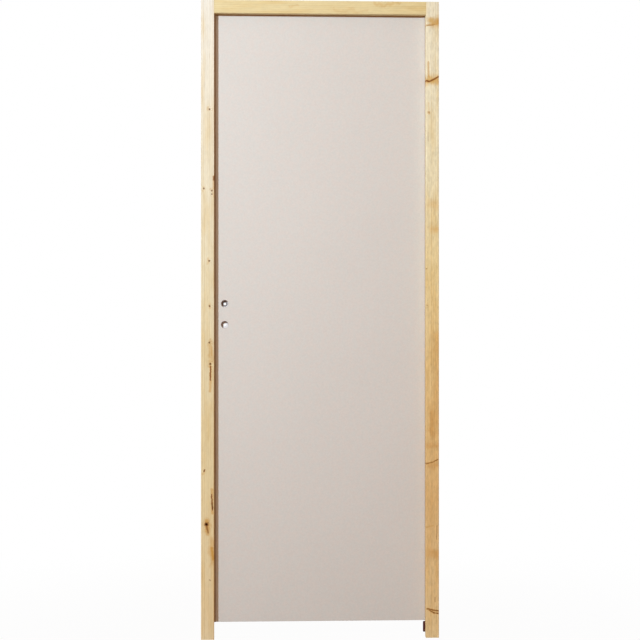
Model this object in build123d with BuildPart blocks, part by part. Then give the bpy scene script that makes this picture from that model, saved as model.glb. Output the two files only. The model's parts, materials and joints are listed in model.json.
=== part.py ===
"""Single-leaf acoustic door set: a softwood frame with a flush leaf hung on three lift-off hinges.

The frame is seen from its push side, looking along +Y, with the hinges at +X and the floor at Z = 0.
The origin is on the hinge jamb's wall face, at floor level and half-way through the frame's depth.
"""

import os

from build123d import *

os.makedirs("parts", exist_ok=True)

# Leaf: an acoustic core in a softwood rim, between two painted skins
leaf_width = 730
leaf_height = 2040
leaf_thickness = 40
skin_thickness = 3
skin_arris = 0.8
lock_stile_width = 90
hinge_stile_width = 60
rail_height = 80

# Frame: jambs run to the floor, the head sits between them
frame_depth = 72
jamb_thickness = 27
stop_width = 16.5
leaf_gap = 5
floor_gap = 54
seal_space = 4
arris_radius = 2

# Rubber seals on the stops' back faces, set further back on the hinge side
seal_show = 4.5
hinge_seal_show = 0.5
seal_width = 16
seal_stem_inset = 6
seal_stem_width = 2.4
seal_stem_depth = 5.5
seal_clearance = 0.3
seal_nose_radius = 1.5
seal_tail_show = 7
seal_tail_thickness = 7
seal_tail_radius = 3
seal_tail_drop = 39
seal_tail_clearance = 3

# Lift-off hinges on the pull side
knuckle_radius = 7
knuckle_stand_off = 9
knuckle_cap_chamfer = 1.5
hinge_height = 110
hinge_end_distance = 200
blade_thickness = 2.5
blade_depth = 30
blade_corner_radius = 6
blade_clearance = 0.2
pin_radius = 4
pin_length = 40
pin_clearance = 0.06
pin_end_clearance = 2
washer_radius = 6.5
washer_thickness = 2
washer_clearance = 0.2

# Mortise lock in the leaf's edge, with its bolts drawn back
lock_backset = 47
spindle_height = 1062
key_drop = 70
lever_hole_radius = 11
case_thickness = 16
case_depth = 70
case_rise = 45
case_height = 165
case_clearance = 0.3
faceplate_width = 20
faceplate_height = 235
faceplate_thickness = 3
follower_radius = 9
follower_clearance = 0.05
spindle_square = 8.2
key_hole_radius = 5
bolt_thickness = 11
bolt_length = 36
latch_height = 24
latch_bevel = 9
latch_tip = 3
dead_bolt_height = 30
bolt_clearance = 0.3

# Strike plate let into the lock jamb
strike_width = 26
strike_end_margin = 24
strike_thickness = 2
strike_window_margin = 3
strike_pocket_depth = 12

# Limits that follow from the sizes above
jamb_face = jamb_thickness + stop_width
frame_width = leaf_width + 2 * (leaf_gap + jamb_thickness)
frame_height = floor_gap + leaf_height + leaf_gap + jamb_thickness
push_y = -frame_depth / 2
pull_y = frame_depth / 2
leaf_push_y = pull_y - leaf_thickness
leaf_mid_y = pull_y - leaf_thickness / 2
stop_y = leaf_push_y - seal_space
seal_edge = jamb_face + seal_show
hinge_seal_edge = jamb_face + hinge_seal_show
leaf_right = -(jamb_thickness + leaf_gap)
leaf_left = leaf_right - leaf_width
leaf_bottom = floor_gap
leaf_top = leaf_bottom + leaf_height
hinge_rebate_x = -jamb_thickness
lock_rebate_x = jamb_thickness - frame_width
head_rebate_z = leaf_top + leaf_gap
rim_push_y = leaf_push_y + skin_thickness
rim_pull_y = pull_y - skin_thickness
axis_x = hinge_rebate_x - leaf_gap / 2
axis_y = pull_y + knuckle_stand_off
knuckle_height = hinge_height / 2
spindle_x = leaf_left + lock_backset
spindle_z = leaf_bottom + spindle_height
key_z = spindle_z - key_drop
case_left = leaf_left + faceplate_thickness
case_top = spindle_z + case_rise
case_mid_z = case_top - case_height / 2
hinge_z = {
    "top": leaf_top - hinge_end_distance - knuckle_height,
    "middle": (leaf_top + leaf_bottom) / 2,
    "bottom": leaf_bottom + hinge_end_distance + knuckle_height,
}


def finish(piece, name):
    """Name a finished piece and write it to its own file."""
    piece.part.label = name
    export_step(piece.part, f"parts/{name}.step")


def block(x_span, y_span, z_span, mode=Mode.ADD):
    """Add or cut a straight-sided block between the given limits."""
    sizes = [high - low for low, high in (x_span, y_span, z_span)]
    middle = [(high + low) / 2 for low, high in (x_span, y_span, z_span)]
    with Locations(tuple(middle)):
        Box(*sizes, mode=mode)


def around(middle, size):
    """Give the two limits of a size that is centred on a place."""
    return (middle - size / 2, middle + size / 2)


def facing_plane(y):
    """Give the upright plane at depth y, seen from the push side."""
    return Plane.XZ.offset(-y)


def stop_section():
    """Draw the frame's section: the wall face on the left, the rebate and its stop on the right."""
    with BuildSketch(mode=Mode.PRIVATE) as section:
        with BuildLine():
            Polyline(
                (0, push_y),
                (jamb_face, push_y),
                (jamb_face, stop_y),
                (jamb_thickness, stop_y),
                (jamb_thickness, pull_y),
                (0, pull_y),
                close=True,
            )
        make_face()
        front_corners = section.vertices().group_by(Axis.Y)[0]
        fillet(front_corners, arris_radius)
        groove_depth = seal_stem_depth + 2 * seal_clearance
        with Locations((jamb_face - seal_stem_inset, stop_y - groove_depth / 2)):
            Rectangle(seal_stem_width + 2 * seal_clearance, groove_depth, mode=Mode.SUBTRACT)
    return section.sketch


def seal_section(edge):
    """Draw a seal whose flat lip has its round nose at an edge, and the stem that holds it in the groove."""
    lip_front = stop_y + seal_clearance
    lip_back = leaf_push_y - seal_clearance
    with BuildSketch(mode=Mode.PRIVATE) as section:
        with Locations((edge - seal_width / 2, (lip_front + lip_back) / 2)):
            Rectangle(seal_width, lip_back - lip_front)
        nose = section.vertices().group_by(Axis.X)[-1]
        fillet(nose, seal_nose_radius)
        with Locations((jamb_face - seal_stem_inset, lip_front - seal_stem_depth / 2)):
            Rectangle(seal_stem_width, seal_stem_depth)
    return section.sketch


def tail_section():
    """Draw the free end of the hinge side's seal, sprung open below the leaf."""
    front = stop_y + seal_clearance
    width = jamb_face + seal_tail_show - (hinge_seal_edge - seal_width)
    with BuildSketch(mode=Mode.PRIVATE) as section:
        with Locations((jamb_face + seal_tail_show - width / 2, front + seal_tail_thickness / 2)):
            RectangleRounded(width, seal_tail_thickness, seal_tail_radius)
    return section.sketch


# Sections are drawn from the wall face inwards, then laid on each member's own plane
hinge_side = Plane((0, 0, 0), x_dir=(-1, 0, 0), z_dir=(0, 0, -1))
lock_side = Plane((-frame_width, 0, 0), x_dir=(1, 0, 0), z_dir=(0, 0, 1))
head_side = Plane((-frame_width, 0, frame_height), x_dir=(0, 0, -1), z_dir=(1, 0, 0))


def on_plane(plane, along, sketch):
    """Lay a section on a member's plane, moved along the member."""
    return plane.offset(along) * sketch


def blade_outline(z, extra):
    """Draw a hinge blade's let-in outline, grown by a clearance, in the YZ plane."""
    with BuildSketch(mode=Mode.PRIVATE) as outline:
        with Locations((pull_y - (blade_depth + extra) / 2, z)):
            Rectangle(blade_depth + extra, hinge_height + 2 * extra)
        inner_corners = outline.vertices().group_by(Axis.X)[0]
        fillet(inner_corners, blade_corner_radius)
    return outline.sketch


def faceplate_outline(height, width, z, extra):
    """Draw a round-ended plate, grown by a clearance, in the YZ plane."""
    with BuildSketch(mode=Mode.PRIVATE) as outline:
        with Locations((leaf_mid_y, z)):
            SlotOverall(height + 2 * extra, width + 2 * extra, rotation=90)
    return outline.sketch


def cut_lever_holes(y_low, y_high):
    """Drill the spindle and key holes between two depths."""
    with BuildSketch(facing_plane(y_low)) as holes:
        with Locations((spindle_x, spindle_z), (spindle_x, key_z)):
            Circle(lever_hole_radius)
    extrude(holes.sketch, amount=-(y_high - y_low), mode=Mode.SUBTRACT)


def cut_leaf_blade_seats():
    """Cut the seats of the three hinge blades in the leaf's hinge edge."""
    for z in hinge_z.values():
        seat = Plane.YZ.offset(leaf_right) * blade_outline(z, blade_clearance)
        extrude(seat, amount=-blade_thickness, mode=Mode.SUBTRACT)


# Latch and dead bolt share their thickness, and sit at the spindle and the key
bolt_places = ((spindle_z, latch_height), (key_z, dead_bolt_height))
strike_top = spindle_z + latch_height / 2 + strike_end_margin
strike_foot = key_z - dead_bolt_height / 2 - strike_end_margin
strike_height = strike_top - strike_foot
strike_mid_z = (strike_top + strike_foot) / 2

# Hinge jamb, with the three blade seats in its rebate
with BuildPart() as hinge_jamb:
    extrude(on_plane(hinge_side, 0, stop_section()), amount=-frame_height)
    for z in hinge_z.values():
        seat = Plane.YZ.offset(hinge_rebate_x) * blade_outline(z, blade_clearance)
        extrude(seat, amount=blade_thickness, mode=Mode.SUBTRACT)
finish(hinge_jamb, "hinge_jamb")

# Lock jamb, with the strike plate's seat and the two bolt pockets
with BuildPart() as lock_jamb:
    extrude(on_plane(lock_side, 0, stop_section()), amount=frame_height)
    strike_seat = faceplate_outline(strike_height, strike_width, strike_mid_z, blade_clearance)
    extrude(
        Plane.YZ.offset(lock_rebate_x) * strike_seat,
        amount=-strike_thickness,
        mode=Mode.SUBTRACT,
    )
    pocket_back = lock_rebate_x - strike_thickness - strike_pocket_depth
    for z, height in bolt_places:
        block(
            (pocket_back, lock_rebate_x),
            around(leaf_mid_y, bolt_thickness + 2 * strike_window_margin),
            around(z, height + 2 * strike_window_margin),
            Mode.SUBTRACT,
        )
finish(lock_jamb, "lock_jamb")

# Head, its stop cut back to sit between the jambs' stops
with BuildPart() as head:
    extrude(
        on_plane(head_side, jamb_thickness, stop_section()),
        amount=frame_width - 2 * jamb_thickness,
    )
    stop_foot = frame_height - jamb_face
    for end in ((-frame_width, jamb_face - frame_width), (-jamb_face, 0)):
        block(end, (push_y, stop_y), (stop_foot, frame_height), Mode.SUBTRACT)
finish(head, "head")

# Seals: the side strips run up behind the head's stop, the head strip fits between them
side_seal_top = head_rebate_z - seal_clearance
with BuildPart() as lock_side_seal:
    extrude(on_plane(lock_side, leaf_bottom, seal_section(seal_edge)), amount=side_seal_top - leaf_bottom)
finish(lock_side_seal, "lock_side_seal")

tail_top = leaf_bottom - seal_tail_clearance
tail_foot = leaf_bottom - seal_tail_drop
with BuildPart() as hinge_side_seal:
    hinge_strip = on_plane(hinge_side, -tail_foot, seal_section(hinge_seal_edge))
    extrude(hinge_strip, amount=-(side_seal_top - tail_foot))
    extrude(on_plane(hinge_side, -tail_foot, tail_section()), amount=-(tail_top - tail_foot))
finish(hinge_side_seal, "hinge_side_seal")

head_seal_start = seal_edge + seal_clearance
head_seal_end = hinge_seal_edge + seal_clearance
with BuildPart() as head_seal:
    extrude(
        on_plane(head_side, head_seal_start, seal_section(seal_edge)),
        amount=frame_width - head_seal_start - head_seal_end,
    )
finish(head_seal, "head_seal")

# Strike plate, with a window for each bolt
with BuildPart() as strike_plate:
    plate = faceplate_outline(strike_height, strike_width, strike_mid_z, 0)
    extrude(Plane.YZ.offset(lock_rebate_x) * plate, amount=-strike_thickness)
    for z, height in bolt_places:
        block(
            (lock_rebate_x - strike_thickness, lock_rebate_x),
            around(leaf_mid_y, bolt_thickness + 2 * strike_window_margin),
            around(z, height + 2 * strike_window_margin),
            Mode.SUBTRACT,
        )
finish(strike_plate, "strike_plate")

# Leaf skins, drilled for the lever and the key
for name, y_low in (("push_face_panel", leaf_push_y), ("pull_face_panel", rim_pull_y)):
    with BuildPart() as panel:
        with BuildSketch(facing_plane(y_low)):
            with Locations(((leaf_left + leaf_right) / 2, (leaf_bottom + leaf_top) / 2)):
                Rectangle(leaf_width, leaf_height)
        extrude(amount=-skin_thickness)
        faces_by_depth = panel.faces().sort_by(Axis.Y)
        outer_face = faces_by_depth[0] if name == "push_face_panel" else faces_by_depth[-1]
        chamfer(outer_face.edges(), skin_arris)
        cut_lever_holes(y_low, y_low + skin_thickness)
        if name == "pull_face_panel":
            cut_leaf_blade_seats()
    finish(panel, name)

# Softwood rim of the leaf: two stiles over the full height, with rails between them
rim_y = (rim_push_y, rim_pull_y)
inner_left = leaf_left + lock_stile_width
inner_right = leaf_right - hinge_stile_width

with BuildPart() as lock_stile:
    block((leaf_left, inner_left), rim_y, (leaf_bottom, leaf_top))
    plate_seat = faceplate_outline(faceplate_height, faceplate_width, case_mid_z, blade_clearance)
    extrude(
        Plane.YZ.offset(leaf_left) * plate_seat,
        amount=faceplate_thickness,
        mode=Mode.SUBTRACT,
    )
    block(
        (leaf_left, case_left + case_depth + case_clearance),
        around(leaf_mid_y, case_thickness),
        around(case_mid_z, case_height + 2 * case_clearance),
        Mode.SUBTRACT,
    )
    cut_lever_holes(rim_push_y, rim_pull_y)
finish(lock_stile, "lock_stile")

with BuildPart() as hinge_stile:
    block((inner_right, leaf_right), rim_y, (leaf_bottom, leaf_top))
    cut_leaf_blade_seats()
finish(hinge_stile, "hinge_stile")

with BuildPart() as top_rail:
    block((inner_left, inner_right), rim_y, (leaf_top - rail_height, leaf_top))
finish(top_rail, "top_rail")

with BuildPart() as bottom_rail:
    block((inner_left, inner_right), rim_y, (leaf_bottom, leaf_bottom + rail_height))
finish(bottom_rail, "bottom_rail")

with BuildPart() as acoustic_core:
    block(
        (inner_left, inner_right),
        rim_y,
        (leaf_bottom + rail_height, leaf_top - rail_height),
    )
finish(acoustic_core, "acoustic_core")

# Mortise lock: the case, the follower that takes the spindle, the faceplate and the two bolts
case_y = around(leaf_mid_y, case_thickness)
bolt_y = around(leaf_mid_y, bolt_thickness)
bolt_slot_y = around(leaf_mid_y, bolt_thickness + 2 * bolt_clearance)
with BuildPart() as lock_case:
    block((case_left, case_left + case_depth), case_y, around(case_mid_z, case_height))
    with BuildSketch(facing_plane(case_y[0])):
        with Locations((spindle_x, spindle_z)):
            Circle(follower_radius + follower_clearance)
        with Locations((spindle_x, key_z)):
            Circle(key_hole_radius)
    extrude(amount=-case_thickness, mode=Mode.SUBTRACT)
    for z, height in bolt_places:
        block(
            (case_left, leaf_left + bolt_length + bolt_clearance),
            bolt_slot_y,
            around(z, height + 2 * bolt_clearance),
            Mode.SUBTRACT,
        )
finish(lock_case, "lock_case")

with BuildPart() as spindle_follower:
    with BuildSketch(facing_plane(case_y[0])):
        with Locations((spindle_x, spindle_z)):
            Circle(follower_radius)
            Rectangle(spindle_square, spindle_square, mode=Mode.SUBTRACT)
    extrude(amount=-case_thickness)
finish(spindle_follower, "spindle_follower")

with BuildPart() as lock_faceplate:
    plate = faceplate_outline(faceplate_height, faceplate_width, case_mid_z, 0)
    extrude(Plane.YZ.offset(leaf_left) * plate, amount=faceplate_thickness)
    for z, height in bolt_places:
        block(
            (leaf_left, case_left),
            bolt_slot_y,
            around(z, height + 2 * bolt_clearance),
            Mode.SUBTRACT,
        )
finish(lock_faceplate, "lock_faceplate")

with BuildPart() as latch_bolt:
    with BuildSketch(Plane.XY.offset(spindle_z - latch_height / 2)):
        with BuildLine():
            Polyline(
                (leaf_left, bolt_y[1]),
                (leaf_left, bolt_y[1] - latch_tip),
                (leaf_left + latch_bevel, bolt_y[0]),
                (leaf_left + bolt_length, bolt_y[0]),
                (leaf_left + bolt_length, bolt_y[1]),
                close=True,
            )
        make_face()
    extrude(amount=latch_height)
finish(latch_bolt, "latch_bolt")

with BuildPart() as dead_bolt:
    block((leaf_left, leaf_left + bolt_length), bolt_y, around(key_z, dead_bolt_height))
finish(dead_bolt, "dead_bolt")

# Lift-off hinges: the frame's half carries the pin, the leaf's half drops over it on a washer
for place, z in hinge_z.items():
    with BuildPart() as frame_half:
        with BuildSketch(Plane.XY.offset(z - knuckle_height)):
            with Locations((axis_x, axis_y)):
                Circle(knuckle_radius)
        extrude(amount=knuckle_height)
        chamfer(frame_half.edges().group_by(Axis.Z)[0], knuckle_cap_chamfer)
        extrude(
            Plane.YZ.offset(hinge_rebate_x) * blade_outline(z, 0),
            amount=blade_thickness,
        )
        block(
            (hinge_rebate_x, hinge_rebate_x + blade_thickness),
            (pull_y - blade_thickness, axis_y),
            (z - knuckle_height + knuckle_cap_chamfer, z),
        )
        with BuildSketch(Plane.XY.offset(z)):
            with Locations((axis_x, axis_y)):
                Circle(pin_radius)
        extrude(amount=pin_length)
    finish(frame_half, f"{place}_hinge_frame_half")

    with BuildPart() as washer:
        with BuildSketch(Plane.XY.offset(z)):
            with Locations((axis_x, axis_y)):
                Circle(washer_radius)
                Circle(pin_radius + pin_clearance, mode=Mode.SUBTRACT)
        extrude(amount=washer_thickness)
    finish(washer, f"{place}_hinge_washer")

    bearing_z = z + washer_thickness + washer_clearance
    with BuildPart() as leaf_half:
        with BuildSketch(Plane.XY.offset(bearing_z)):
            with Locations((axis_x, axis_y)):
                Circle(knuckle_radius)
        extrude(amount=z + knuckle_height - bearing_z)
        chamfer(leaf_half.edges().group_by(Axis.Z)[-1], knuckle_cap_chamfer)
        extrude(
            Plane.YZ.offset(leaf_right) * blade_outline(z, 0),
            amount=-blade_thickness,
        )
        block(
            (leaf_right - blade_thickness, leaf_right),
            (pull_y - blade_thickness, axis_y),
            (bearing_z, z + knuckle_height - knuckle_cap_chamfer),
        )
        with BuildSketch(Plane.XY.offset(bearing_z)):
            with Locations((axis_x, axis_y)):
                Circle(pin_radius + pin_clearance)
        extrude(amount=z + pin_length + pin_end_clearance - bearing_z, mode=Mode.SUBTRACT)
    finish(leaf_half, f"{place}_hinge_leaf_half")
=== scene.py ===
import json
import math

import bmesh
import bpy
from mathutils import Matrix, Vector


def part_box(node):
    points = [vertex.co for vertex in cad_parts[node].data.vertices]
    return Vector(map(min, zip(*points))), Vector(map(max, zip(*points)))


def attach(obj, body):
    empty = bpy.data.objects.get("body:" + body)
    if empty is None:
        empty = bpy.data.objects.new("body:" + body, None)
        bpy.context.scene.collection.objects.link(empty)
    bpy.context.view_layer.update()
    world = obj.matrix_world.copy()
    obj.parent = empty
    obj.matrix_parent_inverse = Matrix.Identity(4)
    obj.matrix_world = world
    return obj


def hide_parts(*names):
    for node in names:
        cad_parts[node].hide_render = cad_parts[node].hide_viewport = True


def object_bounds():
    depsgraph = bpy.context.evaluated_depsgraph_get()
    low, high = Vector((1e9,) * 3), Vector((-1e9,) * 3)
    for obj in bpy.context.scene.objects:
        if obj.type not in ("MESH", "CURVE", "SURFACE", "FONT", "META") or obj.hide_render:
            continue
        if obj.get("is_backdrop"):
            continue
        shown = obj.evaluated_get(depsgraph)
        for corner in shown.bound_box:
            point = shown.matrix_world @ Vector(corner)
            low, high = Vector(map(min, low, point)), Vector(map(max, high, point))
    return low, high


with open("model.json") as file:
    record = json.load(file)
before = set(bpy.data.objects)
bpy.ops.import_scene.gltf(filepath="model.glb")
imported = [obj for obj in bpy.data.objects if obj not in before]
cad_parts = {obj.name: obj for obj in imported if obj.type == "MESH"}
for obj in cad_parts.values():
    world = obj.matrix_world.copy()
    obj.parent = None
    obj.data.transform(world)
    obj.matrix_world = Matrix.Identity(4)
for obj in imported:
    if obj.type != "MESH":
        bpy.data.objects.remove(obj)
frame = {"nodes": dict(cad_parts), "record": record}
cad_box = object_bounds()

# Jambs: two lengths of planed spruce with a rebate, a stop and eased front edges, screwed to the wall
# through packers. They are left bare, so each shows its own growth rings, pin knots and streaks,
# paler at the top and warmer towards the foot.
MM = 0.001
hinge_jamb_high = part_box("hinge_jamb")[1]
lock_jamb_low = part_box("lock_jamb")[0]
jamb_height = hinge_jamb_high[2]
ring_pitch = 3.6 * MM
fibre_scale = Vector((900, 900, 14))
fleck_scale = Vector((520, 520, 22))
streak_scale = Vector((60, 60, 1.6))
mottle_scale = Vector((210, 210, 60))
up = Vector((0, 0, 1))


def srgb(red, green, blue):
    """Turn a colour written as 0 to 255 values into the linear colour that a shader takes."""
    linear = []
    for value in (red / 255, green / 255, blue / 255):
        linear.append(value / 12.92 if value <= 0.04045 else ((value + 0.055) / 1.055) ** 2.4)
    return (*linear, 1.0)


def add_node(tree, kind, inputs=None, **settings):
    """Add a shader node, with its settings and with values or links on its inputs."""
    node = tree.nodes.new(kind)
    for key, value in settings.items():
        setattr(node, key, value)
    for key, value in (inputs or {}).items():
        if isinstance(value, bpy.types.NodeSocket):
            tree.links.new(value, node.inputs[key])
        else:
            node.inputs[key].default_value = value
    return node


def calc(tree, operation, *values):
    """Work out one number from others."""
    return add_node(tree, "ShaderNodeMath", dict(enumerate(values)), operation=operation).outputs[0]


def vector_calc(tree, operation, *values):
    """Work out one vector from others, or a number for a length or a dot product."""
    node = add_node(tree, "ShaderNodeVectorMath", dict(enumerate(values)), operation=operation)
    return node.outputs[1] if operation in ("LENGTH", "DOT_PRODUCT") else node.outputs[0]


def fade(tree, value, start, end):
    """Go smoothly from 0 where the value is at start to 1 where it is at end."""
    inputs = {"Value": value, "From Min": start, "From Max": end}
    return add_node(tree, "ShaderNodeMapRange", inputs, interpolation_type="SMOOTHSTEP").outputs[0]


def between(tree, value, low, high):
    """Spread a 0 to 1 value over a range."""
    return add_node(tree, "ShaderNodeMapRange", {"Value": value, "To Min": low, "To Max": high}).outputs[0]


def blend_colour(tree, factor, base, top, how="MIX"):
    """Lay one colour over another."""
    inputs = {0: factor, 6: base, 7: top}
    return add_node(tree, "ShaderNodeMix", inputs, data_type="RGBA", blend_type=how).outputs[2]


def shade_by(tree, colour, shade):
    """Make a colour lighter or darker by a number."""
    grey = add_node(tree, "ShaderNodeCombineColor", {0: shade, 1: shade, 2: shade}).outputs[0]
    return blend_colour(tree, 1.0, colour, grey, "MULTIPLY")


def noise(tree, place, scale, detail=3.0):
    """Give cloudy noise between 0 and 1."""
    inputs = {"Vector": place, "Scale": scale, "Detail": detail}
    return add_node(tree, "ShaderNodeTexNoise", inputs).outputs["Fac"]


def shift_noise(tree, place, scale, detail, reach):
    """Give a noisy shift of a place, up to about half of reach each way."""
    inputs = {"Vector": place, "Scale": scale, "Detail": detail}
    shift = add_node(tree, "ShaderNodeTexNoise", inputs).outputs["Color"]
    shift = vector_calc(tree, "SUBTRACT", shift, Vector((0.5, 0.5, 0.5)))
    return vector_calc(tree, "MULTIPLY", shift, reach)


def stretched(tree, place, scale):
    """Scale a place by a different amount along each axis."""
    return vector_calc(tree, "MULTIPLY", place, scale)


def colour_stops(tree, factor, stops):
    """Run through a few colours along a 0 to 1 value."""
    ramp = add_node(tree, "ShaderNodeValToRGB", {"Fac": factor})
    elements = ramp.color_ramp.elements
    while len(elements) < len(stops):
        elements.new(0.5)
    for element, (place, colour) in zip(elements, stops):
        element.position = place
        element.color = colour
    return ramp.outputs[0]


def new_finish(name, metallic=0.0):
    """Start a material and give its tree, its shader and its Object coordinates."""
    material = bpy.data.materials.new(name)
    material.use_nodes = True
    tree = material.node_tree
    shader = tree.nodes["Principled BSDF"]
    shader.inputs["Metallic"].default_value = metallic
    place = add_node(tree, "ShaderNodeTexCoord").outputs["Object"]
    return material, tree, shader, place


def set_relief(tree, shader, height, distance, strength=1.0):
    """Give the shader a bump from a height."""
    inputs = {"Height": height, "Distance": distance, "Strength": strength}
    tree.links.new(add_node(tree, "ShaderNodeBump", inputs).outputs[0], shader.inputs["Normal"])


def set_inputs(tree, shader, **sockets):
    """Link colours and numbers to the shader's inputs."""
    for key, value in sockets.items():
        tree.links.new(value, shader.inputs[key.replace("_", " ")])


def paint_node(name, material):
    """Give a piece of the frame or leaf its finish."""
    for slot in frame["nodes"][name].material_slots:
        slot.material = material


def mark_amount(tree, flat_place, start, end, half_width, edge):
    """Give 1 on a line from start to end, in mm across and along the wood, fading out at its edge."""
    first = Vector((start[0], start[1], 0)) * MM
    run = Vector((end[0], end[1], 0)) * MM - first
    from_line = vector_calc(tree, "SUBTRACT", flat_place, first)
    if run.length > 0:
        share = vector_calc(tree, "DOT_PRODUCT", from_line, run / run.length_squared)
        share = calc(tree, "MINIMUM", calc(tree, "MAXIMUM", share, 0.0), 1.0)
        scaled = add_node(tree, "ShaderNodeVectorMath", {0: run, "Scale": share}, operation="SCALE")
        from_line = vector_calc(tree, "SUBTRACT", from_line, scaled.outputs[0])
    return fade(tree, vector_calc(tree, "LENGTH", from_line), (half_width + edge) * MM, half_width * MM)


def spruce(name, wall, inward, along, heart, ring_strength, mottle_strength, tones, marks):
    """Make bare spruce, with rings about a heart line and listed knots and streaks.

    Places in it are measured inwards from the wall face, through the depth and along the member.
    A mark is its kind, its two ends (mm from the wall face, mm along the member), half its width,
    the softness of its edge and its strength.
    """
    material, tree, shader, place = new_finish(name)
    from_wall = vector_calc(tree, "SUBTRACT", place, wall)
    across = vector_calc(tree, "DOT_PRODUCT", from_wall, inward)
    depth = vector_calc(tree, "DOT_PRODUCT", place, Vector((0, 1, 0)))
    length = vector_calc(tree, "DOT_PRODUCT", from_wall, along)
    grain = add_node(tree, "ShaderNodeCombineXYZ", {0: across, 1: depth, 2: length}).outputs[0]
    fibre = noise(tree, stretched(tree, grain, fibre_scale), 1.0, 2)
    streak = noise(tree, stretched(tree, grain, streak_scale), 1.0, 4)
    mottle = noise(tree, stretched(tree, grain, mottle_scale), 1.0, 2)
    fleck = noise(tree, stretched(tree, grain, fleck_scale), 1.0, 1)

    # Marks: knots and streaks are ragged, and tints are cloudy.
    flat_place = add_node(tree, "ShaderNodeCombineXYZ", {0: across, 1: length}).outputs[0]
    ragged = shift_noise(tree, grain, 150, 3, Vector((5, 5, 0)) * MM)
    cloudy = shift_noise(tree, grain, 40, 3, Vector((40, 40, 0)) * MM)
    cloud_place = vector_calc(tree, "ADD", flat_place, cloudy)
    flat_place = vector_calc(tree, "ADD", flat_place, ragged)
    amounts = {"dark": 0.0, "brown": 0.0, "orange": 0.0, "tint": 0.0}
    swirl = 0.0
    for kind, start, end, half_width, edge, strength in marks:
        mark_place = cloud_place if kind == "tint" else flat_place
        amount = mark_amount(tree, mark_place, start, end, half_width, edge)
        amount = calc(tree, "MULTIPLY", amount, strength)
        amounts[kind] = calc(tree, "MAXIMUM", amounts[kind], amount)
        if kind == "dark":
            near_knot = mark_amount(tree, flat_place, start, end, half_width, 4 * edge + 6)
            swirl = calc(tree, "ADD", swirl, near_knot)
    for kind in ("brown", "orange", "tint"):
        amounts[kind] = calc(tree, "MULTIPLY", amounts[kind], between(tree, streak, 0.3, 1.7))

    # Growth rings: they run about the heart line and bend round the knots.
    from_heart = vector_calc(tree, "SUBTRACT", grain, Vector((heart[0], heart[1], 0)) * MM)
    drift = shift_noise(tree, grain, 2.2, 1, Vector((8, 8, 0)) * MM)
    from_heart = vector_calc(tree, "ADD", from_heart, drift)
    radius = vector_calc(tree, "LENGTH", stretched(tree, from_heart, Vector((1, 1, 0))))
    radius = calc(tree, "ADD", radius, calc(tree, "MULTIPLY", swirl, 2.2 * ring_pitch))
    ring = calc(tree, "DIVIDE", radius, ring_pitch)
    year = calc(tree, "FLOOR", ring)
    season = calc(tree, "FRACT", ring)
    late = calc(tree, "MULTIPLY", fade(tree, season, 0.25, 0.9), fade(tree, season, 1.0, 0.95))
    growth = add_node(tree, "ShaderNodeTexWhiteNoise", {"W": year}, noise_dimensions="1D")
    late = calc(tree, "MULTIPLY", late, between(tree, growth.outputs["Value"], 0.15, 1.0))
    figure = noise(tree, stretched(tree, grain, Vector((45, 45, 7))), 1.0, 3)
    late = calc(tree, "MULTIPLY", late, between(tree, figure, 0.2 * ring_strength, 1.8 * ring_strength))

    # Colour: the member's own tone, deeper in the late wood, then shaded and marked.
    member_share = calc(tree, "DIVIDE", length, jamb_height)
    tone = colour_stops(tree, member_share, tones)
    tone = blend_colour(tree, fade(tree, figure, 0.4, 0.75), tone, srgb(250, 242, 226), "MULTIPLY")
    late_tone = blend_colour(tree, 1.0, tone, srgb(226, 206, 174), "MULTIPLY")
    colour = blend_colour(tree, late, tone, late_tone)
    shade = calc(tree, "ADD", between(tree, streak, 0.90, 1.10), between(tree, fibre, -0.05, 0.05))
    shade = calc(tree, "ADD", shade, between(tree, mottle, -mottle_strength, mottle_strength))
    colour = shade_by(tree, colour, shade)
    flecks = calc(tree, "MULTIPLY", fade(tree, fleck, 0.66, 0.80), 0.2)
    colour = blend_colour(tree, flecks, colour, srgb(168, 118, 66))
    colour = blend_colour(tree, amounts["tint"], colour, srgb(228, 194, 134), "MULTIPLY")
    colour = blend_colour(tree, amounts["orange"], colour, srgb(204, 150, 62))
    colour = blend_colour(tree, amounts["brown"], colour, srgb(132, 72, 8))
    colour = blend_colour(tree, amounts["dark"], colour, srgb(46, 22, 6))
    facing = add_node(tree, "ShaderNodeTexCoord").outputs["Normal"]
    end_grain = calc(tree, "ABSOLUTE", vector_calc(tree, "DOT_PRODUCT", facing, along))
    end_grain = calc(tree, "MULTIPLY", fade(tree, end_grain, 0.6, 0.9), 0.55)
    colour = blend_colour(tree, end_grain, colour, srgb(196, 152, 98))

    # Surface: the late wood stands proud, and the knots' dark cores are sunk and dull.
    height = calc(tree, "ADD", calc(tree, "MULTIPLY", late, 0.6), calc(tree, "MULTIPLY", fibre, 0.5))
    height = calc(tree, "SUBTRACT", height, calc(tree, "MULTIPLY", amounts["dark"], 0.8))
    set_relief(tree, shader, height, 0.12 * MM, 0.7)
    smoothed = calc(tree, "MULTIPLY", amounts["dark"], 0.15)
    rough = calc(tree, "SUBTRACT", between(tree, fibre, 0.52, 0.68), smoothed)
    shine = calc(tree, "SUBTRACT", 0.35, calc(tree, "MULTIPLY", amounts["dark"], 0.35))
    set_inputs(tree, shader, Base_Color=colour, Roughness=rough, Specular_IOR_Level=shine)
    return material


def knot(across, along, radius, strength=1.0):
    """Give a knot's marks: its dark core, the brown ring round it and the warm wood beside it."""
    centre = (across, along)
    above = (across, along + 2 * radius)
    below = (across, along - 2 * radius)
    return [
        ("dark", centre, centre, 0.5 * radius, 0.6 * radius, strength),
        ("brown", centre, centre, 0.9 * radius, radius, 0.8 * strength),
        ("tint", above, below, 0.5 * radius, 3 * radius, 0.5 * strength),
    ]


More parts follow.
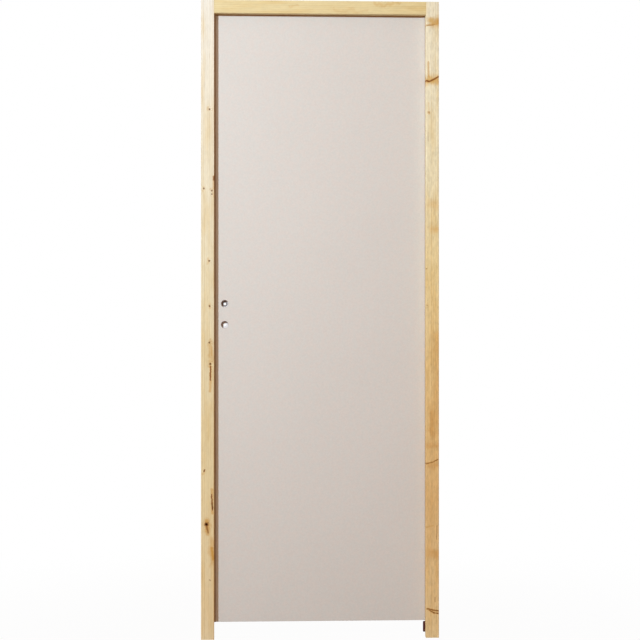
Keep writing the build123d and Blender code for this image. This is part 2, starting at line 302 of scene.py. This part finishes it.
def spike_knot(points, half_width, strength):
    """Give a spike knot's marks: a branch cut along its length, brown in a warm band."""
    marks = []
    for start, end in zip(points, points[1:]):
        marks.append(("brown", start, end, 0.5 * half_width, 0.9 * half_width, strength))
        marks.append(("orange", start, end, half_width, 1.6 * half_width, 0.7 * strength))
    return marks


lock_jamb_marks = [
    *knot(28, 1762, 2.4, 0.85),
    ("brown", (43, 1538), (43, 1528), 1.0, 5.0, 0.9),
    ("orange", (42, 1540), (43, 1500), 1.0, 5.0, 0.5),
    *knot(9, 1499, 2.2, 0.8),
    *knot(36, 1492, 2.2, 0.75),
    *knot(36, 1480, 2.2, 0.75),
    *knot(27, 1259, 2.2, 0.8),
    *knot(29, 1108, 2.2, 0.8),
    *knot(28, 988, 2.4, 0.85),
    ("tint", (35, 985), (36, 920), 0.5, 14.0, 0.5),
    ("orange", (36, 972), (36, 944), 0.5, 4.0, 0.5),
    *knot(31, 916, 3.0, 0.9),
    ("brown", (32, 908), (31, 862), 0.8, 2.6, 0.95),
    ("orange", (32, 908), (30, 826), 1.0, 6.0, 0.6),
    *knot(9, 561, 1.6, 0.7),
    ("brown", (9, 559), (13, 565), 0.8, 2.2, 0.8),
    ("orange", (36, 500), (38, 420), 1.0, 6.0, 0.6),
    ("brown", (35, 482), (38, 432), 0.8, 2.6, 0.95),
    ("dark", (37, 452), (39, 436), 0.5, 2.0, 0.7),
    *knot(18, 383, 5.2),
    ("orange", (19, 394), (22, 352), 1.5, 9.0, 0.6),
    ("brown", (19, 376), (24, 356), 0.6, 3.4, 0.75),
    ("brown", (12, 384), (24, 390), 0.5, 3.0, 0.6),
    ("orange", (36, 304), (40, 268), 1.4, 5.0, 0.8),
    ("tint", (34, 330), (38, 250), 1.0, 14.0, 0.4),
    ("brown", (28, 199), (31, 197), 0.8, 2.2, 0.5),
]
hinge_jamb_marks = [
    ("tint", (22, 2056), (4, 2060), 1.0, 28.0, 1.0),
    ("orange", (16, 2056), (3, 2066), 0.5, 11.0, 0.45),
    ("orange", (42, 2047), (8, 2052), 0.8, 4.5, 0.6),
    ("brown", (40, 2046), (14, 2050), 0.5, 2.6, 0.4),
    ("orange", (36, 1925), (35, 1875), 0.6, 4.5, 0.55),
    *spike_knot([(43, 1862), (33, 1859), (16, 1867), (2, 1876)], 2.4, 0.95),
    ("tint", (34, 1862), (4, 1864), 1.0, 26.0, 0.9),
    ("orange", (34, 1757), (33, 1754), 1.5, 6.0, 0.6),
    ("brown", (34, 1757), (33, 1755), 0.8, 2.6, 0.45),
    ("orange", (34, 1764), (35, 1788), 0.4, 3.5, 0.3),
    ("brown", (36, 1690), (36, 1660), 0.4, 2.4, 0.25),
    ("tint", (24, 1449), (2, 1449), 0.5, 22.0, 0.35),
    ("tint", (24, 1369), (2, 1371), 0.5, 22.0, 0.45),
    *knot(41, 1234, 1.6, 0.5),
    *knot(40, 1112, 1.6, 0.5),
    ("tint", (4, 1010), (8, 720), 0.5, 26.0, 0.3),
    ("tint", (20, 755), (22, 675), 0.5, 18.0, 0.4),
    ("tint", (38, 645), (3, 648), 0.5, 14.0, 0.4),
    *spike_knot([(43, 582), (22, 587), (3, 596)], 1.8, 0.7),
    ("tint", (30, 576), (2, 580), 0.5, 16.0, 0.4),
    ("orange", (42, 370), (20, 374), 0.4, 3.0, 0.45),
    ("brown", (6, 375), (8, 330), 0.4, 3.0, 0.4),
    ("tint", (26, 285), (2, 280), 1.0, 26.0, 0.45),
    ("orange", (18, 284), (4, 281), 0.5, 16.0, 0.15),
    ("brown", (13, 134), (13, 120), 0.4, 2.6, 0.45),
    *spike_knot([(40, 98), (22, 93), (2, 90)], 1.8, 0.85),
    *spike_knot([(32, 92), (16, 83), (2, 81)], 1.8, 0.85),
]
lock_jamb_tones = [
    (0.0, srgb(240, 217, 174)),
    (0.25, srgb(234, 213, 166)),
    (0.55, srgb(236, 223, 189)),
    (0.8, srgb(239, 228, 203)),
    (1.0, srgb(243, 237, 224)),
]
hinge_jamb_tones = [
    (0.0, srgb(244, 215, 162)),
    (0.22, srgb(230, 189, 128)),
    (0.4, srgb(236, 202, 142)),
    (0.58, srgb(240, 217, 162)),
    (0.75, srgb(245, 234, 199)),
    (1.0, srgb(244, 235, 208)),
]
lock_jamb_wood = spruce(
    "lock_jamb_spruce", wall=Vector((lock_jamb_low[0], 0, 0)), inward=Vector((1, 0, 0)), along=up,
    heart=(-52, 64), ring_strength=0.6, mottle_strength=0.11,
    tones=lock_jamb_tones, marks=lock_jamb_marks,
)
hinge_jamb_wood = spruce(
    "hinge_jamb_spruce", wall=Vector((hinge_jamb_high[0], 0, 0)), inward=Vector((-1, 0, 0)), along=up,
    heart=(-60, 70), ring_strength=0.65, mottle_strength=0.26,
    tones=hinge_jamb_tones, marks=hinge_jamb_marks,
)
paint_node("lock_jamb", lock_jamb_wood)
paint_node("hinge_jamb", hinge_jamb_wood)

# Head: the same rebated spruce, cut to fit between the jambs and glued and nailed to them.
# Its grain runs across the door.
head_low, head_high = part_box("head")
head_marks = [
    ("tint", (16, 268), (20, 300), 0.6, 8.0, 0.3),
    ("tint", (30, 420), (34, 520), 0.5, 10.0, 0.2),
    ("tint", (10, 560), (8, 640), 0.5, 9.0, 0.35),
]
head_tones = [
    (0.0, srgb(233, 215, 166)),
    (0.4, srgb(233, 213, 160)),
]
head_wood = spruce(
    "head_spruce", wall=Vector((head_low[0], 0, head_high[2])), inward=-up, along=Vector((1, 0, 0)),
    heart=(70, 40), ring_strength=0.45, mottle_strength=0.10,
    tones=head_tones, marks=head_marks,
)
paint_node("head", head_wood)

# Seals: extruded brown rubber strips with a ribbed back, pressed by the closing leaf.
# Each is pushed by its stem into a groove in the stop. The hinge side's foot has a darker moulded end.
stem_half_width = 1.2 * MM
stem_rib_depth = 0.4 * MM
seal_rib_rise = 0.8 * MM
seal_corner = 0.35 * MM
end_piece_corner = 3.0 * MM
sharp_angle = math.radians(38)


def new_piece(name, bm, body, slot, *materials):
    """Turn a mesh into a piece of the door that moves with a body."""
    bmesh.ops.recalc_face_normals(bm, faces=bm.faces)
    for face in bm.faces:
        face.smooth = True
    for edge in bm.edges:
        edge.smooth = len(edge.link_faces) == 2 and edge.calc_face_angle() < sharp_angle
    mesh = bpy.data.meshes.new(name)
    bm.to_mesh(mesh)
    bm.free()
    piece = bpy.data.objects.new(name, mesh)
    bpy.context.collection.objects.link(piece)
    for material in materials:
        mesh.materials.append(material)
    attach(piece, body)
    return piece


def seal_outline(lip_start, lip_end, stem_middle, lip_back, lip_front, stem_tip):
    """Give a seal's section: a stem with ribs, and a lip with three ribs that face the leaf."""
    stem_run = lip_back - stem_tip
    stem_side = stem_middle - stem_half_width
    points = [(lip_start, lip_back), (stem_side, lip_back)]
    for share, groove in ((0.35, stem_rib_depth), (0.5, 0), (0.65, stem_rib_depth), (0.8, 0)):
        points.append((stem_side + groove, lip_back - share * stem_run))
    points.append((stem_middle - 0.3 * stem_half_width, stem_tip))
    points += [(2 * stem_middle - across, depth) for across, depth in reversed(points[1:])]
    points += [(lip_end, lip_back), (lip_end, lip_front - seal_rib_rise)]
    rib_pitch = (lip_end - lip_start) / 3
    for rib in range(3):
        middle = lip_end - (rib + 0.5) * rib_pitch
        points += [(middle + 0.25 * rib_pitch, lip_front), (middle - 0.25 * rib_pitch, lip_front)]
        points.append((middle - 0.5 * rib_pitch, lip_front - seal_rib_rise))
    return points


def seal_strip(name, outline, place_of, start, end, material, node):
    """Extrude a seal's section along its groove, with its corners rounded."""
    bm = bmesh.new()
    verts = [bm.verts.new(place_of(across, depth, start)) for across, depth in outline]
    bm.faces.new(verts)
    bmesh.ops.bevel(
        bm, geom=verts, offset=seal_corner, affect="VERTICES", segments=3, profile=0.5, material=-1,
    )
    section = list(bm.faces)
    run = place_of(0, 0, end) - place_of(0, 0, start)
    moved = bmesh.ops.extrude_face_region(bm, geom=section, use_keep_orig=True)["geom"]
    moved = [item for item in moved if isinstance(item, bmesh.types.BMVert)]
    bmesh.ops.translate(bm, verts=moved, vec=run)
    piece = new_piece(name, bm, "frame", "seal_rubber", material)
    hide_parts(node)
    return piece


def rubber(name, tone, bloom_tone):
    """Make dull rubber with a patchy bloom and fine grit."""
    material, tree, shader, place = new_finish(name)
    bloom = noise(tree, place, 90, 4)
    grit = noise(tree, place, 2600, 2)
    colour = blend_colour(tree, bloom, tone, bloom_tone)
    set_inputs(tree, shader, Base_Color=colour, Roughness=between(tree, bloom, 0.55, 0.75))
    set_relief(tree, shader, grit, 0.05 * MM, 0.5)
    shader.inputs["Specular IOR Level"].default_value = 0.2
    return material


brown_rubber = rubber("seal_rubber_brown", srgb(158, 120, 84), srgb(184, 146, 108))
dark_rubber = rubber("seal_rubber_dark", srgb(48, 6, 8), srgb(84, 14, 16))
lock_seal_low, lock_seal_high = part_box("lock_side_seal")
hinge_seal_low, hinge_seal_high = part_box("hinge_side_seal")
head_seal_low, head_seal_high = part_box("head_seal")
door_left = lock_jamb_low[0]
door_top = head_high[2]
stem_tip = lock_seal_low[1]
lip_back = -7.7 * MM
lip_front = lock_seal_high[1]
lip_start = lock_seal_low[0] - door_left
lip_end = lock_seal_high[0] - door_left
stem_middle = 37.5 * MM
hinge_lip_start = -hinge_seal_high[0]
hinge_lip_end = hinge_lip_start + lip_end - lip_start
seal_section = seal_outline(lip_start, lip_end, stem_middle, lip_back, lip_front, stem_tip)
hinge_seal_section = seal_outline(
    hinge_lip_start, hinge_lip_end, stem_middle, lip_back, lip_front, stem_tip,
)
end_piece_height = 36 * MM
hinge_lip_foot = hinge_seal_low[2] + end_piece_height
seal_strip(
    "lock_side_seal_strip", seal_section,
    lambda across, depth, along: Vector((door_left + across, depth, along)),
    lock_seal_low[2], lock_seal_high[2], brown_rubber, "lock_side_seal",
)
seal_strip(
    "hinge_side_seal_strip", hinge_seal_section,
    lambda across, depth, along: Vector((-across, depth, along)),
    hinge_lip_foot, hinge_seal_high[2], brown_rubber, "hinge_side_seal",
)
seal_strip(
    "head_seal_strip", seal_section,
    lambda across, depth, along: Vector((along, depth, door_top - across)),
    head_seal_low[0], head_seal_high[0], brown_rubber, "head_seal",
)
end_piece_low = Vector((hinge_seal_low[0], lip_back, hinge_seal_low[2]))
end_piece_high = Vector((hinge_seal_high[0], hinge_seal_high[1], hinge_lip_foot))
end_bm = bmesh.new()
bmesh.ops.create_cube(end_bm, size=1)
bmesh.ops.scale(end_bm, vec=end_piece_high - end_piece_low, verts=end_bm.verts)
bmesh.ops.translate(end_bm, vec=(end_piece_high + end_piece_low) / 2, verts=end_bm.verts)
bmesh.ops.bevel(
    end_bm, geom=list(end_bm.edges), offset=end_piece_corner,
    affect="EDGES", segments=4, profile=0.5, material=-1,
)
new_piece("hinge_side_seal_end", end_bm, "frame", "seal_rubber", dark_rubber)

# Strike plate and hinges: pressed and rolled steel, zinc plated and slightly dulled.
# The frame's hinge halves carry the pins, with a brass washer on each.
# Countersunk screws hold each plate, their cross recesses coloured dark as painted shade.
screw_radius = 4.0 * MM
screw_rise = 0.25 * MM
recess_depth = 1.2 * MM
recess_arm = 0.62 * screw_radius
recess_half_width = 0.16 * screw_radius
hinge_places = ("top", "middle", "bottom")


def plated_steel(name, tint, spread, metallic=1.0, shine=0.5):
    """Make dulled zinc plate, with faint spangle and drawing lines."""
    material, tree, shader, place = new_finish(name, metallic)
    lines = noise(tree, stretched(tree, place, Vector((2200, 2200, 60))), 1.0, 2)
    spangle = noise(tree, place, 140, 3)
    dark_tint = tuple(value * spread for value in tint[:3]) + (1.0,)
    colour = blend_colour(tree, spangle, tint, dark_tint)
    rough = calc(tree, "ADD", between(tree, spangle, 0.24, 0.40), between(tree, lines, -0.06, 0.08))
    set_inputs(tree, shader, Base_Color=colour, Roughness=rough)
    set_relief(tree, shader, lines, 0.02 * MM, 0.5)
    shader.inputs["Specular IOR Level"].default_value = shine
    return material


def add_screw(bm, place, facing):
    """Add a countersunk screw head with a cross recess to a mesh."""
    levels = (-screw_radius, -recess_arm, -recess_half_width, recess_half_width, recess_arm, screw_radius)
    last = len(levels) - 1
    verts = bmesh.ops.create_grid(bm, x_segments=last, y_segments=last, size=1)["verts"]
    faces = {face for vert in verts for face in vert.link_faces}
    recess = []
    for face in faces:
        middle = face.calc_center_median()
        if abs(middle.x * middle.y) < 0.01 and max(abs(middle.x), abs(middle.y)) < 0.7:
            recess.append(face)
    for vert in verts:
        column = round((vert.co.x + 1) * last / 2)
        row = round((vert.co.y + 1) * last / 2)
        vert.co = Vector((levels[column], levels[row], 0))
        if column in (0, last) or row in (0, last):
            vert.co = vert.co.normalized() * screw_radius
    rim = [edge for vert in verts for edge in vert.link_edges if edge.is_boundary]
    skirt = bmesh.ops.extrude_edge_only(bm, edges=list(set(rim)))["geom"]
    skirt = [item for item in skirt if isinstance(item, bmesh.types.BMVert)]
    bmesh.ops.translate(bm, vec=Vector((0, 0, -2 * screw_rise)), verts=skirt)
    sunk = bmesh.ops.extrude_face_region(bm, geom=recess)["geom"]
    bmesh.ops.delete(bm, geom=[face for face in recess if face.is_valid], context="FACES_ONLY")
    sunk = [item for item in sunk if isinstance(item, bmesh.types.BMVert)]
    bmesh.ops.translate(bm, vec=Vector((0, 0, -recess_depth)), verts=sunk)
    # The recess faces take the dark second material: painted shade.
    for face in {face for vert in sunk for face in vert.link_faces}:
        face.material_index = 1
    turn = facing.to_track_quat("Z", "Y").to_matrix().to_4x4()
    seat = Matrix.Translation(place + facing * screw_rise) @ turn
    bmesh.ops.transform(bm, matrix=seat, verts=verts + skirt + sunk)


def add_screws(name, places, facing, body, slot):
    """Make a plate's screws as one piece, with their recesses painted dark as shade."""
    bm = bmesh.new()
    for place in places:
        add_screw(bm, place, facing)
    return new_piece(name, bm, body, slot, screw_zinc, recess_painted_shade)


def plate_screws(face_x, plate_low, plate_high, offset):
    """Give the places of a long plate's two screws, below and above its middle."""
    plate_middle = (plate_low + plate_high) / 2
    middle = Vector((face_x, plate_middle[1], plate_middle[2]))
    return [middle - up * offset, middle + up * offset]


def blade_screws(face_x, middle_z):
    """Give the places of a hinge blade's four screws."""
    rows = ((-40, 15), (-15, 26), (15, 26), (40, 15))
    return [Vector((face_x, depth * MM, middle_z + rise * MM)) for rise, depth in rows]


zinc = plated_steel("hinge_zinc", srgb(206, 206, 203), 0.8)
brass = plated_steel("washer_brass", srgb(208, 172, 102), 0.75)
screw_zinc = plated_steel("screw_zinc", srgb(178, 174, 164), 0.8)
# Painted shade: a dark steel for the screws' cross recesses.
recess_painted_shade = plated_steel("screw_recess_painted_shade", srgb(70, 68, 64), 0.7)
strike_low, strike_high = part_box("strike_plate")
strike_screw_offset = 63 * MM
paint_node("strike_plate", zinc)
add_screws(
    "strike_plate_screws", plate_screws(strike_high[0], strike_low, strike_high, strike_screw_offset),
    Vector((1, 0, 0)), "frame", "lock_steel",
)
hinge_rebate_x = -27 * MM
leaf_edge_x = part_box("push_face_panel")[1][0]
for where in hinge_places:
    frame_half_low, frame_half_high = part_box(f"{where}_hinge_frame_half")
    hinge_middle_z = (frame_half_low[2] + frame_half_high[2]) / 2
    paint_node(f"{where}_hinge_frame_half", zinc)
    paint_node(f"{where}_hinge_leaf_half", zinc)
    paint_node(f"{where}_hinge_washer", brass)
    add_screws(
        f"{where}_hinge_frame_screws", blade_screws(hinge_rebate_x, hinge_middle_z),
        Vector((-1, 0, 0)), "frame", "hinge_steel",
    )
    add_screws(
        f"{where}_hinge_leaf_screws", blade_screws(leaf_edge_x, hinge_middle_z),
        Vector((1, 0, 0)), "leaf", "hinge_steel",
    )

# Leaf: two hardboard skins with a smooth factory primer, pale pink-grey, pressed on a softwood rim.
# The primer covers the faces and the leaf's edges. Round each lock hole a ring of bare board, wider to the
# upper left, is a painted shadow of the hole's rim.
# Drilled holes and mortises show brown board and bare wood, both painted darker than they are, as shade in
# the holes.
primer_colour = srgb(220, 215, 209)
leaf_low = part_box("push_face_panel")[0]
pull_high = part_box("pull_face_panel")[1]
leaf_middle = (leaf_low + pull_high) / 2
leaf_half_size = (pull_high - leaf_low) / 2
openings = {opening["name"]: opening["box_m"] for opening in frame["record"]["physics"]["openings"]}
# The painted shadow ring round the lock holes: its radius, its soft edge and its shift to the upper left.
shadow_ring_radius = 12.2 * MM
shadow_ring_edge = 0.3 * MM
shadow_ring_shift = Vector((-0.8, 0, 0.8)) * MM


def primer_coat(tree, place):
    """Give the primer's colour, its fine stipple and its roughness."""
    cloud = noise(tree, place, 3.0, 3)
    mottle = noise(tree, place, 70, 3)
    speck = noise(tree, place, 170, 2)
    stipple = noise(tree, place, 1300, 2)
    shade = calc(tree, "ADD", between(tree, cloud, 0.975, 1.02), between(tree, speck, -0.06, 0.06))
    colour = blend_colour(tree, fade(tree, mottle, 0.3, 0.7), primer_colour, srgb(223, 214, 207))
    return shade_by(tree, colour, shade), stipple, between(tree, speck, 0.5, 0.64)


panel_finish, panel_tree, panel_shader, panel_place = new_finish("primed_hardboard")
coat_colour, coat_relief, coat_rough = primer_coat(panel_tree, panel_place)
board_fibre = noise(panel_tree, panel_place, 900, 3)
# Brown board, painted darker than it is as shade on the hole walls and in the shadow ring.
board_and_shade_colour = blend_colour(panel_tree, board_fibre, srgb(66, 38, 30), srgb(98, 64, 48))
panel_facing = add_node(panel_tree, "ShaderNodeTexCoord").outputs["Normal"]
faces_out = vector_calc(panel_tree, "DOT_PRODUCT", panel_facing, Vector((0, 1, 0)))
primed = fade(panel_tree, calc(panel_tree, "ABSOLUTE", faces_out), 0.4, 0.6)
# Painted shadow: a ragged ring of dark board round each lock hole, shifted to the upper left.
shadow_ring_wobble = shift_noise(panel_tree, panel_place, 300, 3, Vector((1, 0, 1)) * MM)
shadow_ring_place = vector_calc(panel_tree, "ADD", panel_place, shadow_ring_wobble)
for lock_hole in ("spindle_way", "key_way"):
    hole_low, hole_high = openings[lock_hole]
    shadow_ring_middle = (Vector(hole_low) + Vector(hole_high)) / 2 + shadow_ring_shift
    from_hole = vector_calc(panel_tree, "SUBTRACT", shadow_ring_place, shadow_ring_middle)
    from_hole = stretched(panel_tree, from_hole, Vector((1, 0, 1)))
    from_hole = vector_calc(panel_tree, "LENGTH", from_hole)
    outside_shadow_ring = fade(panel_tree, from_hole, shadow_ring_radius - shadow_ring_edge, shadow_ring_radius + shadow_ring_edge)
    primed = calc(panel_tree, "MULTIPLY", primed, outside_shadow_ring)
panel_colour = blend_colour(panel_tree, primed, board_and_shade_colour, coat_colour)
set_inputs(panel_tree, panel_shader, Base_Color=panel_colour, Roughness=coat_rough)
set_relief(panel_tree, panel_shader, coat_relief, 0.06 * MM, 0.6)
for panel in ("push_face_panel", "pull_face_panel"):
    paint_node(panel, panel_finish)


def rim_finish(name, along):
    """Make softwood that is primed on the leaf's edges and bare inside, where it is painted dark as shade.
    """
    material, tree, shader, place = new_finish(name)
    rim_colour, stipple, rough = primer_coat(tree, place)
    from_middle = vector_calc(tree, "ABSOLUTE", vector_calc(tree, "SUBTRACT", place, leaf_middle))
    inside = vector_calc(tree, "SUBTRACT", leaf_half_size, from_middle)
    inside = add_node(tree, "ShaderNodeSeparateXYZ", {0: inside})
    nearest = calc(tree, "MINIMUM", inside.outputs["X"], inside.outputs["Z"])
    bare = fade(tree, nearest, 0.6 * MM, 1.2 * MM)
    grain = noise(tree, stretched(tree, place, Vector((320, 320, 320)) - 311 * along), 1.0, 3)
    # The bare wood's tones are darker than softwood is: painted shade in the holes and mortises.
    bare_wood_and_shade_tones = [(0.3, srgb(150, 112, 72)), (0.55, srgb(124, 88, 54)), (0.75, srgb(98, 66, 38))]
    wood = colour_stops(tree, grain, bare_wood_and_shade_tones)
    set_inputs(tree, shader, Base_Color=blend_colour(tree, bare, rim_colour, wood), Roughness=rough)
    set_relief(tree, shader, calc(tree, "ADD", stipple, grain), 0.06 * MM, 0.6)
    return material


stile_wood = rim_finish("leaf_stile_wood", up)
rail_wood = rim_finish("leaf_rail_wood", Vector((1, 0, 0)))
paint_node("lock_stile", stile_wood)
paint_node("hinge_stile", stile_wood)
paint_node("top_rail", rail_wood)
paint_node("bottom_rail", rail_wood)

# Core: heavy pressed chipboard that fills the leaf and stops the sound, glued between the skins.
# It shows only in the lock's mortise.
core_board, core_tree, core_shader, core_place = new_finish("core_chipboard")
chip_place = stretched(core_tree, core_place, Vector((160, 420, 160)))
chips = add_node(core_tree, "ShaderNodeTexVoronoi", {"Vector": chip_place, "Scale": 1.0})
chip_tone = vector_calc(core_tree, "DOT_PRODUCT", chips.outputs["Color"], Vector((0.4, 0.3, 0.3)))
dust = noise(core_tree, core_place, 700, 3)
core_tones = [(0.2, srgb(150, 116, 74)), (0.5, srgb(188, 152, 102)), (0.8, srgb(212, 182, 134))]
core_colour = colour_stops(core_tree, chip_tone, core_tones)
core_colour = shade_by(core_tree, core_colour, between(core_tree, dust, 0.8, 1.15))
set_inputs(core_tree, core_shader, Base_Color=core_colour, Roughness=between(core_tree, dust, 0.75, 0.95))
set_relief(core_tree, core_shader, chip_tone, 0.2 * MM, 0.7)
paint_node("acoustic_core", core_board)

# Lock: a mortise case in plated steel let into the leaf's edge, with its faceplate, screws and bolts.
# Case and follower have a dull zinc coat: the case pale, the follower a darker grey that is partly painted
# shade round the square hole for the lever.
faceplate_low, faceplate_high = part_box("lock_faceplate")
faceplate_screw_offset = 107 * MM
pale_zinc = plated_steel("lock_case_zinc", srgb(252, 247, 247), 0.94, metallic=0.0, shine=0.05)
# The follower's darker grey is partly zinc's own tone and partly painted shade in the hole.
follower_darkened_zinc = plated_steel("follower_zinc", srgb(140, 130, 130), 0.8, metallic=0.0, shine=0.05)
paint_node("lock_case", pale_zinc)
for piece in ("lock_faceplate", "latch_bolt", "dead_bolt"):
    paint_node(piece, zinc)
paint_node("spindle_follower", follower_darkened_zinc)
add_screws(
    "lock_faceplate_screws",
    plate_screws(faceplate_low[0], faceplate_low, faceplate_high, faceplate_screw_offset),
    Vector((-1, 0, 0)), "leaf", "lock_steel",
)

# Studio: a pale floor and a white surround that lights the door with a warm fill,
# a key lamp high on the left and two lamps behind for the other views.
floor_half = 6.0
floor_middle = Vector((-0.4, 0, 0))
floor_drop = 0.5 * MM
warm_fill = (0.51, 0.35, 0.225, 1)
warm_bounce = (0.24, 0.16, 0.12, 1)
white = (1, 1, 1, 1)
cool_white = (0.737, 0.886, 1.0)
door_middle = Vector((-0.397, -0.036, 1.063))
floor_mesh = bpy.data.meshes.new("studio_floor")
floor_bm = bmesh.new()
bmesh.ops.create_grid(floor_bm, x_segments=1, y_segments=1, size=floor_half)
bmesh.ops.translate(floor_bm, verts=floor_bm.verts, vec=floor_middle - up * floor_drop)
floor_bm.to_mesh(floor_mesh)
floor_bm.free()
floor = bpy.data.objects.new("studio_floor", floor_mesh)
bpy.context.collection.objects.link(floor)
floor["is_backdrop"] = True
floor_finish = bpy.data.materials.new("studio_white")
floor_finish.use_nodes = True
floor_tree = floor_finish.node_tree
floor_tree.nodes.clear()


def seen_rays(tree):
    """Give 1 for the rays that see a surface or the surround, and 0 for those that only light others."""
    rays = add_node(tree, "ShaderNodeLightPath")
    seen = calc(tree, "MAXIMUM", rays.outputs["Is Camera Ray"], rays.outputs["Is Glossy Ray"])
    return calc(tree, "MAXIMUM", seen, rays.outputs["Is Transmission Ray"])


floor_place = add_node(floor_tree, "ShaderNodeTexCoord").outputs["Object"]
from_door = vector_calc(floor_tree, "SUBTRACT", floor_place, floor_middle)
from_door = vector_calc(floor_tree, "LENGTH", from_door)
glow_share = between(floor_tree, fade(floor_tree, from_door, 0.5, 2.5), 0.97, 1.0)
matt_floor = add_node(floor_tree, "ShaderNodeBsdfDiffuse", {"Color": warm_bounce})
glow_white = add_node(floor_tree, "ShaderNodeEmission", {"Color": white, "Strength": 1.0})
glow_share = calc(floor_tree, "MULTIPLY", seen_rays(floor_tree), glow_share)
floor_inputs = {0: glow_share, 1: matt_floor.outputs[0], 2: glow_white.outputs[0]}
floor_mix = add_node(floor_tree, "ShaderNodeMixShader", floor_inputs)
add_node(floor_tree, "ShaderNodeOutputMaterial", {"Surface": floor_mix.outputs[0]})
floor.data.materials.append(floor_finish)

world = bpy.data.worlds.new("studio_surround")
bpy.context.scene.world = world
world.use_nodes = True
world_tree = world.node_tree
world_tree.nodes.clear()
surround_colour = blend_colour(world_tree, seen_rays(world_tree), warm_fill, white)
surround = add_node(world_tree, "ShaderNodeBackground", {"Color": surround_colour, "Strength": 1.0})
add_node(world_tree, "ShaderNodeOutputWorld", {"Surface": surround.outputs[0]})


def add_lamp(name, place, target, size, watts, colour):
    """Hang a square soft lamp that faces a target."""
    lamp = bpy.data.lights.new(name, "AREA")
    lamp.size = size
    lamp.energy = watts
    lamp.color = colour
    lamp_object = bpy.data.objects.new(name, lamp)
    lamp_object.location = place
    lamp_object.rotation_euler = (Vector(target) - Vector(place)).to_track_quat("-Z", "Y").to_euler()
    bpy.context.collection.objects.link(lamp_object)


add_lamp("key_lamp", (-2.57, -3.97, 2.65), door_middle, 0.16, 182, cool_white)
add_lamp("back_left_lamp", (-3.0, 2.5, 2.4), door_middle, 1.2, 75, cool_white)
add_lamp("back_right_lamp", (2.2, 2.5, 2.4), door_middle, 1.2, 75, cool_white)

# Camera: a long lens at half the door's height, a little to the left,
# far enough away for the frame to fill the height of the picture.
camera_distance = 5.8
camera_lens = 97.92
camera_swing = math.radians(2.9)
camera_shift = Vector((-1.4, 0, -0.8)) * MM
camera_data = bpy.data.cameras.new("door_camera")
camera_data.sensor_width = 36
camera_data.lens = camera_lens
camera = bpy.data.objects.new("door_camera", camera_data)
aim = Vector((math.sin(camera_swing), math.cos(camera_swing), 0))
camera.location = door_middle + camera_shift - aim * camera_distance
camera.rotation_euler = aim.to_track_quat("-Z", "Y").to_euler()
bpy.context.collection.objects.link(camera)
bpy.context.scene.camera = camera
bpy.context.scene.view_settings.view_transform = "Standard"

boxes = {"cad": cad_box, "visual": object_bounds()}
boxes = {key: [list(map(float, corner)) for corner in box] for key, box in boxes.items()}
